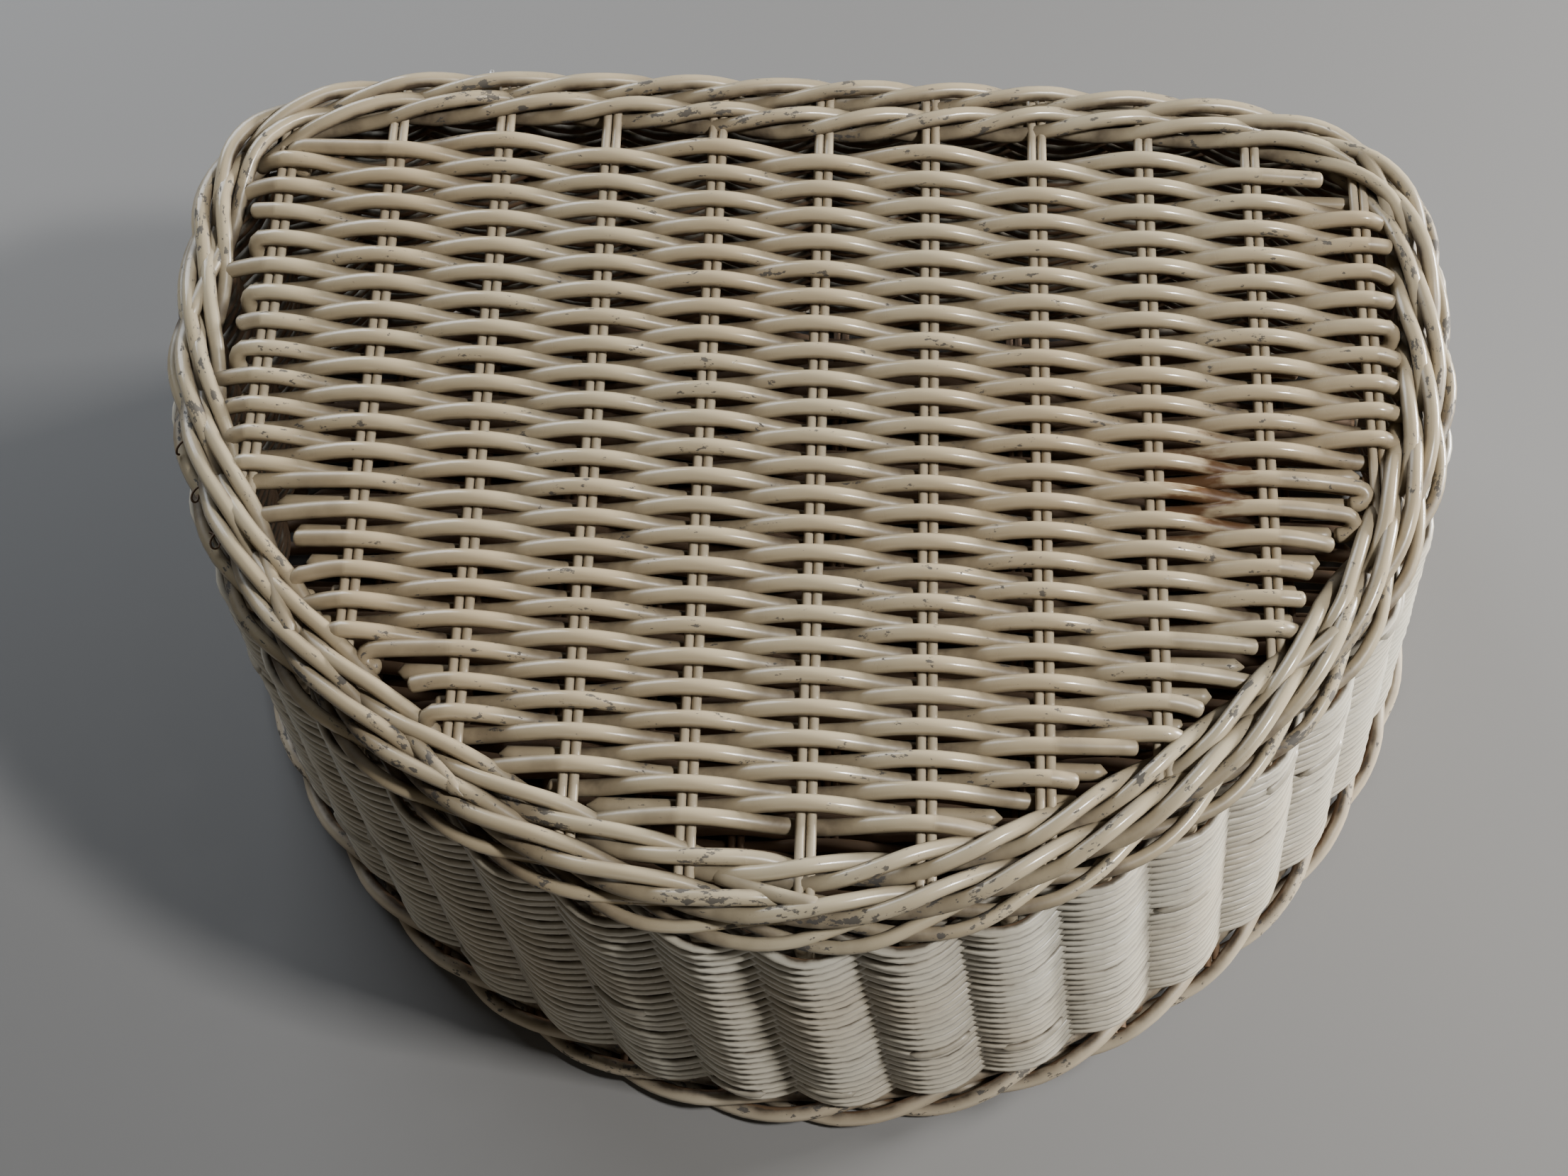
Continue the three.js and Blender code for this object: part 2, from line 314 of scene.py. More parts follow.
def build_round_rod():
    tree, start, end = new_tree(
        "Rod round the plan", "GeometryNodeTree",
        [("Geometry", "NodeSocketGeometry", None), ("Stakes", "NodeSocketInt", STAKES),
         ("Rounds", "NodeSocketInt", 3), ("Low", "NodeSocketFloat", 0.0), ("High", "NodeSocketFloat", 0.1),
         ("Wave", "NodeSocketFloat", 2.0), ("Start", "NodeSocketFloat", 0.0),
         ("Line Out", "NodeSocketFloat", 0.0), ("Swing Out", "NodeSocketFloat", 0.005),
         ("Swing Up", "NodeSocketFloat", 0.0), ("Wander", "NodeSocketFloat", 0.0005),
         ("Spray Up", "NodeSocketFloat", 0.0), ("Seed", "NodeSocketFloat", 1.0),
         ("Closed", "NodeSocketBool", False), ("Round End", "NodeSocketFloat", 0.0),
         ("Rod Radius", "NodeSocketFloat", 0.003), ("Sides", "NodeSocketInt", 8),
         ("Uneven", "NodeSocketFloat", 0.05), ("Material", "NodeSocketMaterial", None)],
        [("Geometry", "NodeSocketGeometry")],
    )
    size = add_node(tree, "GeometryNodeAttributeDomainSize", {"Geometry": start["Geometry"]})
    stations = size.outputs["Point Count"]
    total = calc(tree, "MULTIPLY", stations, start["Rounds"])
    line = add_node(tree, "GeometryNodeMeshLine", {"Count": total}, mode="OFFSET").outputs[0]
    index = tree.nodes.new("GeometryNodeInputIndex").outputs[0]
    station = calc(tree, "FLOORED_MODULO", index, stations)

    def sampled(value):
        node = add_node(
            tree, "GeometryNodeSampleIndex",
            {"Geometry": start["Geometry"], "Value": value, "Index": station},
            data_type="FLOAT_VECTOR", domain="POINT",
        )
        return node.outputs[0]

    ground = sampled(tree.nodes.new("GeometryNodeInputPosition").outputs[0])
    climb = sampled(named(tree, "climb", "FLOAT_VECTOR"))
    outward = sampled(named(tree, "outward", "FLOAT_VECTOR"))
    stakes_passed = calc(tree, "DIVIDE", calc(tree, "MULTIPLY", index, start["Stakes"]), stations)
    turn = calc(tree, "DIVIDE", calc(tree, "ADD", stakes_passed, start["Start"]), start["Wave"])
    turn = calc(tree, "MULTIPLY", turn, 2 * math.pi)
    risen = calc(tree, "DIVIDE", index, total)
    climbed = calc(tree, "SUBTRACT", start["High"], start["Low"])
    height = calc(tree, "MULTIPLY_ADD", climbed, risen, start["Low"])
    out = calc(tree, "MULTIPLY_ADD", calc(tree, "COSINE", turn), start["Swing Out"], start["Line Out"])
    up = calc(tree, "MULTIPLY", calc(tree, "SINE", turn), start["Swing Up"])
    place = vector_calc(tree, "ADD", ground, vector_scale(tree, climb, height))
    place = vector_calc(tree, "ADD", place, vector_scale(tree, outward, out))
    place = vector_calc(tree, "ADD", place, add_node(tree, "ShaderNodeCombineXYZ", {"Z": up}).outputs[0])
    layered = vector_calc(tree, "MULTIPLY", place, (1.0, 1.0, LAYER_SHARE))
    drift = add_node(
        tree, "ShaderNodeTexNoise",
        {"Vector": layered, "W": start["Seed"], "Scale": DRIFT_SCALE, "Detail": 1.0},
        noise_dimensions="4D",
    ).outputs["Color"]
    drift = vector_calc(tree, "SUBTRACT", drift, (0.5, 0.5, 0.5))
    place = vector_calc(tree, "ADD", place, vector_scale(tree, drift, start["Wander"]))
    line = add_node(tree, "GeometryNodeSetPosition", {"Geometry": line, "Position": place}).outputs[0]
    line = stored(tree, line, "swung_out", calc(tree, "COSINE", turn))
    line = stored(tree, line, "swung_up", calc(tree, "SINE", turn))
    line = stored(tree, line, "rod", calc(tree, "MULTIPLY", start["Seed"], SEED_TO_ROD))
    lifted = add_node(tree, "ShaderNodeCombineXYZ", {"Z": start["Spray Up"]}).outputs[0]
    sprayed = vector_calc(tree, "NORMALIZE", vector_calc(tree, "ADD", outward, lifted))
    line = stored(tree, line, "outward", sprayed, "FLOAT_VECTOR")
    tree.links.new(skinned(tree, line, start["Closed"], start), end["Geometry"])
    return tree


round_rod = build_round_rod()
print("rod round the plan:", len(round_rod.nodes), "nodes")

# %% [markdown]
# ## Rods that run along a line
# The lid's weavers run from side to side, arching over one pair of sticks and dipping under the next. Their
# lines are drawn flat, with a mark that says how strongly each point swings, and the tree lifts them in a
# wave. A stick, a stake or a loose end is the same rod with no swing.

# %% Geometry Nodes: rod along a line
LINE_DRIFT_SCALE = 14.0        # how closely a weaver or a stick wanders
ROD_TO_SEED = 9.0              # sets neighbouring rods far apart in the drift's pattern


def build_line_rod():
    tree, start, end = new_tree(
        "Rod along a line", "GeometryNodeTree",
        [("Geometry", "NodeSocketGeometry", None), ("Swing", "NodeSocketFloat", 0.0),
         ("Pitch", "NodeSocketFloat", 0.04), ("Middle", "NodeSocketFloat", 0.0),
         ("Wander", "NodeSocketFloat", 0.0), ("Seed", "NodeSocketFloat", 1.0),
         ("Round End", "NodeSocketFloat", 0.0),
         ("Rod Radius", "NodeSocketFloat", 0.003), ("Sides", "NodeSocketInt", 8),
         ("Uneven", "NodeSocketFloat", 0.05), ("Material", "NodeSocketMaterial", None)],
        [("Geometry", "NodeSocketGeometry")],
    )
    place = tree.nodes.new("GeometryNodeInputPosition").outputs[0]
    x = add_node(tree, "ShaderNodeSeparateXYZ", {"Vector": place}).outputs["X"]
    angle = calc(tree, "DIVIDE", calc(tree, "SUBTRACT", x, start["Middle"]), start["Pitch"])
    wave = calc(tree, "COSINE", calc(tree, "MULTIPLY", angle, math.pi))
    proud = calc(tree, "MULTIPLY", wave, named(tree, "over"))
    up = calc(tree, "MULTIPLY", proud, start["Swing"])
    rod = named(tree, "rod")
    own_drift = calc(tree, "MULTIPLY_ADD", rod, ROD_TO_SEED, start["Seed"])
    drift = add_node(
        tree, "ShaderNodeTexNoise",
        {"Vector": place, "W": own_drift, "Scale": LINE_DRIFT_SCALE, "Detail": 1.0},
        noise_dimensions="4D",
    ).outputs["Color"]
    drift = vector_calc(tree, "SUBTRACT", drift, (0.5, 0.5, 0.5))
    shift = vector_calc(
        tree, "ADD", vector_scale(tree, drift, start["Wander"]),
        add_node(tree, "ShaderNodeCombineXYZ", {"Z": up}).outputs[0])
    line = stored(tree, start["Geometry"], "swung_up", proud)
    line = add_node(tree, "GeometryNodeSetPosition", {"Geometry": line, "Offset": shift}).outputs[0]
    closed = add_node(tree, "FunctionNodeInputBool", boolean=False).outputs[0]
    tree.links.new(skinned(tree, line, closed, start), end["Geometry"])
    return tree


line_rod = build_line_rod()
print("rod along a line:", len(line_rod.nodes), "nodes")

# %% [markdown]
# ## From a tree to a finished mesh
# The modifier's inputs are set by the sockets' identifiers before anything is evaluated. The evaluated
# result becomes a plain mesh on a new object, and the guide with its modifier is thrown away.

# %% Making a piece
def make_piece(name, guide, tree, values):
    holder = bpy.data.objects.new(name + "_guide", guide)
    bpy.context.scene.collection.objects.link(holder)
    modifier = holder.modifiers.new("weave", "NODES")
    modifier.node_group = tree
    for socket in tree.interface.items_tree:
        if socket.in_out == "INPUT" and socket.name in values:
            modifier[socket.identifier] = values[socket.name]
    graph = bpy.context.evaluated_depsgraph_get()
    mesh = bpy.data.meshes.new_from_object(
        holder.evaluated_get(graph), preserve_all_data_layers=True, depsgraph=graph)
    bpy.data.objects.remove(holder)
    mesh.name = name
    piece = bpy.data.objects.new(name, mesh)
    bpy.context.scene.collection.objects.link(piece)
    triangles = sum(len(face.vertices) - 2 for face in mesh.polygons)
    print(f"{name}: {triangles} triangles")
    return piece


def add_attribute(mesh, name, kind, values):
    layer = mesh.attributes.new(name, kind, "POINT")
    key = "vector" if kind == "FLOAT_VECTOR" else "value"
    layer.data.foreach_set(key, np.ascontiguousarray(values, dtype=np.float32).ravel())


STATIONS_PER_STAKE = 8


def ring_guide(name, foot, head):
    """A guide for one round: where it is on the floor, how it moves as it climbs, and which way is out."""
    mesh = bpy.data.meshes.new(name)
    mesh.from_pydata([tuple(point) for point in foot], [], [])
    along = np.roll(foot, -1, axis=0) - np.roll(foot, 1, axis=0)
    outward = np.stack([along[:, 1], -along[:, 0], np.zeros(len(foot))], axis=-1)
    outward /= np.linalg.norm(outward, axis=1)[:, None]
    add_attribute(mesh, "climb", "FLOAT_VECTOR", (head - foot) / HEIGHT)
    add_attribute(mesh, "outward", "FLOAT_VECTOR", outward)
    return mesh


UP = (0.0, 0.0, 1.0)
DOWN = (0.0, 0.0, -1.0)


def line_guide(name, lines):
    """A guide of open lines: points, the swing at each point, the rod's number and its sprayed side."""
    points, edges, over, rods = [], [], [], []
    for line in lines:
        first = len(points)
        points += [tuple(point) for point in line["points"]]
        over += list(line.get("over", [0.0] * len(line["points"])))
        rods += [line["rod"]] * len(line["points"])
        edges += [(first + step, first + step + 1) for step in range(len(line["points"]) - 1)]
    mesh = bpy.data.meshes.new(name)
    mesh.from_pydata(points, edges, [])
    add_attribute(mesh, "over", "FLOAT", over)
    add_attribute(mesh, "rod", "FLOAT", rods)
    outward = np.concatenate([
        np.broadcast_to(line.get("outward", UP), (len(line["points"]), 3)) for line in lines])
    add_attribute(mesh, "outward", "FLOAT_VECTOR", outward)
    return mesh


shares = np.arange(STAKES * STATIONS_PER_STAKE) / (STAKES * STATIONS_PER_STAKE)
wall_guide_data = (wall_point(shares, -WALL_INSET, 0.0), wall_point(shares, -WALL_INSET, 1.0))
print("one round has", len(shares), "stations")

# %% [markdown]
# ## Shared finishes
# The hamper was sprayed cream after weaving. Spray reaches the proud, outward side of each rod. It thins
# into the crevices, where dust settles, and the inner sides keep the rattan's brown. The crevices and the
# sides turned from the spray are also darkened with painted shade. Knocks chip the paint to grey-black
# flecks. Each of these is a small shader group with its own inputs, placed in every paint.
# A group gives a mask, and the material mixes its colours by it.

# %% Shader group: flecks
FLECK_ROUGHNESS = 0.65         # how ragged a fleck's edge is
PATCH_SCALE = 42.0             # flecks come in patches of this scale
PATCH_EDGES = (0.36, 0.62)
BETWEEN_PATCHES = 0.15         # share of the flecks left between the patches
FLECK_LEVEL = 0.78             # noise above this is a fleck where the amount is 0
FLECK_GAIN = 0.3               # how far the amount lowers that level
FLECK_EDGE = 0.03


def build_flecks():
    """Small dark flecks, drawn out a little along the rod."""
    tree, start, end = new_tree(
        "Paint flecks", "ShaderNodeTree",
        [("Grain", "NodeSocketVector", None), ("Scale", "NodeSocketFloat", 300.0),
         ("Amount", "NodeSocketFloat", 0.3), ("Stretch", "NodeSocketFloat", 0.5)],
        [("Mask", "NodeSocketFloat")],
    )
    squeeze = add_node(
        tree, "ShaderNodeCombineXYZ", {"X": start["Stretch"], "Y": 1.0, "Z": 1.0}).outputs[0]
    place = vector_calc(tree, "MULTIPLY", start["Grain"], squeeze)
    fine = add_node(
        tree, "ShaderNodeTexNoise",
        {"Vector": place, "Scale": start["Scale"], "Detail": 5.0, "Roughness": FLECK_ROUGHNESS},
    ).outputs["Fac"]
    patches = spread_over(tree, noise(tree, place, PATCH_SCALE, 2.0), *PATCH_EDGES, BETWEEN_PATCHES)
    lowered = calc(tree, "MULTIPLY", calc(tree, "MULTIPLY", patches, start["Amount"]), FLECK_GAIN)
    level = calc(tree, "SUBTRACT", FLECK_LEVEL, lowered)
    mask = spread_over(tree, calc(tree, "SUBTRACT", fine, level), 0.0, FLECK_EDGE)
    tree.links.new(mask, end["Mask"])
    return tree


flecks = build_flecks()


# %% Shader group: crevice dust and painted shade
DIP_RANGE = (0.75, -0.75)      # from the swing where the dust and painted shade start to the swing where they are full
AWAY_RANGE = (0.75, -0.35)     # the same for how far the surface faces the spray
DIP_SHARE = 0.8
DUST_AND_SHADE_SCALE = 90.0
DUST_AND_SHADE_CLOUD = (0.45, 1.25)      # the least and the most that the clouds leave of it


def build_crevice_dust_and_shade():
    """Dust, thin paint and painted shade where a rod dips between its neighbours or turns away from the
    spray.
    """
    tree, start, end = new_tree(
        "Crevice dust and shade", "ShaderNodeTree",
        [("Grain", "NodeSocketVector", None), ("Proud", "NodeSocketFloat", 0.0),
         ("Facing", "NodeSocketFloat", 1.0), ("Amount", "NodeSocketFloat", 0.6)],
        [("Mask", "NodeSocketFloat")],
    )
    dip = spread_over(tree, start["Proud"], *DIP_RANGE)
    away = spread_over(tree, start["Facing"], *AWAY_RANGE)
    cloud = spread_over(tree, noise(tree, start["Grain"], DUST_AND_SHADE_SCALE, 4.0), 0.3, 0.7, *DUST_AND_SHADE_CLOUD)
    both = calc(tree, "MAXIMUM", calc(tree, "MULTIPLY", dip, DIP_SHARE), away)
    mask = calc(tree, "MULTIPLY", calc(tree, "MULTIPLY", both, cloud), start["Amount"])
    mask = calc(tree, "MINIMUM", mask, 1.0)
    tree.links.new(mask, end["Mask"])
    return tree


crevice_dust_and_shade = build_crevice_dust_and_shade()


# %% Shader group: bare side
RAGGED_SCALE = 130.0
RAGGED_REACH = 0.9             # how far the ragged edge wanders
BARE_EDGE = 0.22               # how softly the paint runs out


def build_bare_side():
    """The side that the spray never reached, with a ragged edge."""
    tree, start, end = new_tree(
        "Bare side", "ShaderNodeTree",
        [("Grain", "NodeSocketVector", None), ("Facing", "NodeSocketFloat", 1.0),
         ("Edge", "NodeSocketFloat", -0.45)],
        [("Mask", "NodeSocketFloat")],
    )
    ragged = calc(tree, "SUBTRACT", noise(tree, start["Grain"], RAGGED_SCALE, 4.0), 0.5)
    level = calc(tree, "MULTIPLY_ADD", ragged, RAGGED_REACH, start["Edge"])
    mask = spread_over(tree, calc(tree, "SUBTRACT", level, start["Facing"]), 0.0, BARE_EDGE)
    tree.links.new(mask, end["Mask"])
    return tree


bare_side = build_bare_side()
print("shader groups:", flecks.name, crevice_dust_and_shade.name, bare_side.name)

# %% [markdown]
# ## The paints
# One function mixes each paint: cream, darker in the crevices with dust and painted shade, brown where
# bare, flecked by knocks. Each part has its own values; the lid's weavers and border are darker and
# yellower than the wall. Fine bumps give the drag of sprayed paint over the rattan's skin. A brown stain
# has soaked in at one place on the right of the lid, so only the lid's weavers carry it.

# %% Paint colours and sizes
CHIP = (0.055, 0.052, 0.05, 1)
RATTAN = (0.14, 0.082, 0.042, 1)
# raw rattan in its crevices, darkened partly by dust and partly by painted shade
RATTAN_CREVICE = (0.06, 0.035, 0.02, 1)
CLOUD_SCALE = 11.0
BLOTCH = 0.06                  # how much deeper the cream is in the clouds, and more so in green and blue
CHIP_SCALE = 330.0
CHIP_STRETCH = 0.55
CHIP_STRENGTH = 0.85
CHIP_DEPTH = 0.8               # how deep a chip is against the drag marks
WORN_ROUGHNESS = 0.75
DRAG_SCALE = 900.0
DRAG_STRETCH = (0.25, 1.0, 1.0)
DRAG_STRENGTH = 0.16
DRAG_HEIGHT = 0.2 * MM


def mixed(tree, mask, first, second):
    node = add_node(tree, "ShaderNodeMix", {0: mask, 6: first, 7: second}, data_type="RGBA")
    return node.outputs[2]


# %% Stain
STAIN = (0.10, 0.046, 0.018, 1)
STAIN_PLACE = (0.132, -0.002, LID_MIDDLE)
STAIN_SHAPE = (52.0, 48.0, 14.0)  # one over the stain's reach each way, in metres
STAIN_RIM = (1.3, 0.3)         # from where it starts to where it is full, in reaches
STAIN_STRETCH = (0.3, 1.0, 1.0)
STAIN_SCALE = 240.0
STAIN_LEVELS = (0.72, 0.95)
STAIN_IN_DUST_AND_SHADE = 0.5
STAIN_AT_MIDDLE = 0.28


def stained(tree, base, place, grain, dust_and_shade, amount):
    """A brown stain soaked in round one place on the lid, drawn out along the rods."""
    spot = vector_calc(tree, "MULTIPLY", vector_calc(tree, "SUBTRACT", place, STAIN_PLACE), STAIN_SHAPE)
    reach = add_node(tree, "ShaderNodeVectorMath", {0: spot}, operation="LENGTH").outputs["Value"]
    near = spread_over(tree, reach, *STAIN_RIM)
    spread = noise(tree, vector_calc(tree, "MULTIPLY", grain, STAIN_STRETCH), STAIN_SCALE, 4.0)
    more = calc(tree, "MULTIPLY_ADD", dust_and_shade, STAIN_IN_DUST_AND_SHADE, calc(tree, "MULTIPLY", near, STAIN_AT_MIDDLE))
    rust = spread_over(tree, calc(tree, "ADD", spread, more), *STAIN_LEVELS, 0.0, amount)
    inside = calc(tree, "MINIMUM", calc(tree, "MULTIPLY", near, 3.0), 1.0)
    return mixed(tree, calc(tree, "MULTIPLY", rust, inside), base, STAIN)


# %% Paint
def paint(name, colour, crevice_shade_and_soil, proud, shade_and_dirt, chips=0.3, bare=-0.45, roughness=0.38, stain=0.0):
    """A cream paint; its second colour is its colour in the crevices, part dust and part painted shade, and
    proud names the swing that lifts it out of them.
    """
    material = bpy.data.materials.new(name)
    material.use_nodes = True
    tree = material.node_tree
    shader = tree.nodes["Principled BSDF"]

    def attribute(label, output):
        return add_node(tree, "ShaderNodeAttribute", attribute_name=label).outputs[output]

    def mask_of(kind, **inputs):
        return add_node(tree, "ShaderNodeGroup", inputs, node_tree=kind).outputs["Mask"]

    grain = attribute("grain", "Vector")
    facing = attribute("facing", "Fac")
    place = add_node(tree, "ShaderNodeTexCoord").outputs["Object"]
    cloud = spread_over(tree, noise(tree, place, CLOUD_SCALE, 3.0), 0.3, 0.7)
    deeper = tuple(channel * (1 - BLOTCH * (1 + step)) for step, channel in enumerate(colour[:3])) + (1,)
    base = mixed(tree, cloud, colour, deeper)
    # Crevices and the sides turned from the spray take the darker colour: part dust, part painted shade.
    dust_and_shade = mask_of(crevice_dust_and_shade, Grain=grain, Proud=attribute(proud, "Fac"), Facing=facing, Amount=shade_and_dirt)
    base = mixed(tree, dust_and_shade, base, crevice_shade_and_soil)
    chipped = mask_of(flecks, Grain=grain, Scale=CHIP_SCALE, Amount=chips, Stretch=CHIP_STRETCH)
    base = mixed(tree, calc(tree, "MULTIPLY", chipped, CHIP_STRENGTH), base, CHIP)
    if stain:
        base = stained(tree, base, place, grain, dust_and_shade, stain)
    unpainted = mask_of(bare_side, Grain=grain, Facing=facing, Edge=bare)
    base = mixed(tree, unpainted, base, RATTAN)
    tree.links.new(base, shader.inputs["Base Color"])
    worn = calc(tree, "MAXIMUM", dust_and_shade, calc(tree, "MAXIMUM", chipped, unpainted))
    rough = spread_over(tree, worn, 0.0, 1.0, roughness, WORN_ROUGHNESS)
    tree.links.new(rough, shader.inputs["Roughness"])
    skin = noise(tree, vector_calc(tree, "MULTIPLY", grain, DRAG_STRETCH), DRAG_SCALE, 3.0)
    height = calc(tree, "SUBTRACT", skin, calc(tree, "MULTIPLY", chipped, CHIP_DEPTH))
    bump = {"Strength": DRAG_STRENGTH, "Distance": DRAG_HEIGHT, "Height": height}
    tree.links.new(add_node(tree, "ShaderNodeBump", bump).outputs[0], shader.inputs["Normal"])
    return material


# The second colour of each paint darkens its crevices: part dust, part painted shade.
lid_paint = paint("aged_cream_weavers", (0.46, 0.39, 0.265, 1), (0.065, 0.043, 0.024, 1), "swung_up",
                  shade_and_dirt=0.95, chips=0.62, bare=-0.6, roughness=0.17, stain=0.95)
stick_paint = paint("aged_cream_sticks", (0.57, 0.495, 0.36, 1), (0.10, 0.07, 0.04, 1), "swung_up",
                    shade_and_dirt=0.6, chips=0.3, bare=-0.7, roughness=0.16)
border_paint = paint("aged_cream_border", (0.44, 0.38, 0.265, 1), (0.06, 0.04, 0.023, 1), "swung_up",
                     shade_and_dirt=1.0, chips=0.85, bare=-0.62, roughness=0.2)
wall_paint = paint("white_cream_wall", (0.60, 0.57, 0.475, 1), (0.075, 0.058, 0.037, 1), "swung_out",
                   shade_and_dirt=1.2, chips=0.12, bare=-0.5, roughness=0.15)
foot_paint = paint("scuffed_cream_foot", (0.50, 0.435, 0.325, 1), (0.065, 0.045, 0.027, 1), "swung_out",
                   shade_and_dirt=0.95, chips=0.8, bare=-0.45, roughness=0.36)
base_paint = paint("thin_cream_base", (0.50, 0.43, 0.31, 1), (0.08, 0.055, 0.033, 1), "swung_up",
                   shade_and_dirt=0.7, chips=0.5, bare=0.1, roughness=0.5)
print("paints:", len(bpy.data.materials))

# %% [markdown]
# ## Foot border
# The foot border is a heavy three-rod wale laid outside the wall, so it carries the hamper and the wall's
# ribs stand inside it. It is one endless strand that goes round three times.

# %% Foot border
BORDER_ROUNDS = 3
WALE_STAKES = 3                # stakes that the rope takes for one turn
BORDER_WANDER = 2.0 * MM
flat_head = np.array([0.0, 0.0, HEIGHT])


def border_guide(name, out, height):
    ring = level_point(shares, out, height)
    ring[:, 2] = 0.0
    return ring_guide(name, ring, ring + flat_head)


def wale(name, out, low, high, width, rod_radius, material, seed, start=0.0, spray_up=0.0):
    """A three-rod rope border between two heights, with its middle at out from the lid's outline."""
    middle = (low + high) / 2
    values = {
        "Rounds": BORDER_ROUNDS, "Low": middle, "High": middle, "Wave": float(WALE_STAKES), "Start": start,
        "Swing Out": width / 2 - rod_radius, "Swing Up": (high - low) / 2 - rod_radius,
        "Wander": BORDER_WANDER, "Spray Up": spray_up, "Seed": seed, "Closed": True,
        "Rod Radius": rod_radius, "Sides": 10, "Uneven": 0.07, "Material": material,
    }
    return make_piece(name, border_guide(name, out, middle), round_rod, values)


FOOT_WIDTH = 17 * MM
FOOT_PROUD = 9 * MM
FOOT_ROD = 3.3 * MM
FOOT_CLEAR = 0.4 * MM          # keeps a wandering rod out of the floor
foot_border = wale("foot_border_rods", FLARE + FOOT_PROUD - FOOT_WIDTH / 2, foot_low.z + FOOT_CLEAR,
                   foot_high.z, FOOT_WIDTH, FOOT_ROD, foot_paint, 3.0)

# %% [markdown]
# ## Wall weave, rim and stakes
# Some fifty rounds of thin rod pack down on the foot, and a flat three-rod wale covers their top. The
# spiral is made in two lengths, so that neither mesh grows too heavy. The second starts on the beat where
# the first stops. The stakes stand inside the weave, and show between its rods.

# %% Wall weave and rim
WALL_ROD = 2.0 * MM
WALL_SWING = 6.3 * MM          # how far the rod swings out before a stake and in behind it
WALL_WANDER = 2.2 * MM
WALL_ROUNDS = 52
LOWER_ROUNDS = 26
FIRST_STAKE = 0.5              # the stakes stand half a place on from the middle of the back


def spiral(name, low, high, first_round, rounds):
    """A length of the wall's endless rod, climbing from one height to another."""
    return make_piece(name, ring_guide(name, *wall_guide_data), round_rod, {
        "Rounds": rounds, "Low": low, "High": high, "Wave": 2.0,
        "Start": first_round * STAKES - FIRST_STAKE, "Swing Out": WALL_SWING, "Wander": WALL_WANDER,
        "Seed": 7.0, "Rod Radius": WALL_ROD, "Sides": 8, "Uneven": 0.1, "Material": wall_paint})


wall_start = wall_low.z + WALL_ROD
wall_end = wall_high.z - WALL_ROD
wall_split = wall_start + (wall_end - wall_start) * LOWER_ROUNDS / WALL_ROUNDS
lower_wall = spiral("wall_weave_lower", wall_start, wall_split, 0, LOWER_ROUNDS)
upper_wall = spiral("wall_weave_upper", wall_split, wall_end, LOWER_ROUNDS, WALL_ROUNDS - LOWER_ROUNDS)
RIM_ROD = 2.6 * MM
RIM_WIDTH = 16 * MM
RIM_PROUD = 5 * MM             # how far the rim stands out past the wall's line
rim_out = FLARE * (1 - rim_high.z / HEIGHT) + RIM_PROUD - RIM_WIDTH / 2
rim_border = wale("rim_border_rods", rim_out, rim_low.z, rim_high.z, RIM_WIDTH, RIM_ROD, border_paint, 5.0,
                  spray_up=1.2)

# %% Stakes
STAKE_RADIUS = 3.4 * MM
STAKE_POINTS = 6
STAKE_GRAIN = 0.61             # sets each stake on its own stretch of the paint's pattern


def stake_lines():
    """One straight line for each stake, from the foot to the top of the weave."""
    lines = []
    rises = np.linspace(wall_low.z, wall_high.z, STAKE_POINTS) / HEIGHT
    for stake in range(STAKES):
        points = wall_point((stake + FIRST_STAKE) / STAKES, -WALL_INSET, rises)
        lines.append({"points": points, "rod": stake * STAKE_GRAIN})
    return lines


stakes = make_piece("stake_rods", line_guide("stakes", stake_lines()), line_rod, {
    "Rod Radius": STAKE_RADIUS, "Sides": 8, "Uneven": 0.05, "Material": stick_paint})

# %% [markdown]
# ## A woven panel
# The lid and the base are woven alike. Thin sticks lie front to back in pairs. A thick weaver goes over one
# pair and under the next, and the next row does the opposite. At the side, a weaver that comes over the
# last pair turns down round it and goes back underneath, or it is cut off, or it is tucked under the
# border. Rows near the round front stop at an earlier pair.

# %% Panel rows
ROW_PITCH = 5.9 * MM
POINTS_PER_PITCH = 10
ARCH = 5.0 * MM                # how far a weaver's middle rises over a pair
WEAVER_WANDER = 1.3 * MM
WEAVER_GRAIN = 0.173           # sets each weaver on its own stretch of the paint's pattern


def half_width_at(y, out):
    """Half the width of the outline at that y, or zero in front of or behind it."""
    ahead = y - WIDEST
    deep, power = (LID_BACK, BACK_POWER) if ahead > 0 else (LID_FRONT, FRONT_POWER)
    share = 1 - (abs(ahead) / (deep + out)) ** power
    return (LID_HALF + out) * share ** (1 / power) if share > 0 else 0.0


END_STEPS = 8
END_GAPS = (5, 9)              # room left before the border, in millimetres
END_SAGS = (0.2, 0.7)          # how far a free end sinks, as a share of its arch
END_DRIFTS = (-0.8, 2.0)       # how far a free end strays to the front, in millimetres
SAG_POWER = 1.5
TUCK_REACH = 6 * MM            # how far a tucked end runs on under the border
TUCK_SAGS = (1.3, 1.7)
SHORTEST_UNDER = 8 * MM        # an end that is already under the last pair is at least this long
CURLS = (0.75, 1.15)           # how wide a hook is, against one that just fits
HOOK_REACH = 5.2 * MM          # how far a weaver stands out where it turns round the last stick
SHORTEST_TAIL = 9 * MM         # a hooked weaver with less room than this turns straight round the stick
TIGHT_ROOM = 7 * MM            # with less room than this a weaver dips under the border
RUNS_OUT = 0.16                # share of row ends that run on under the border
HOOKED_LEFT = 0.85             # share of left ends that are turned under
HOOKED_RIGHT = 0.4             # share of right ends that are turned under


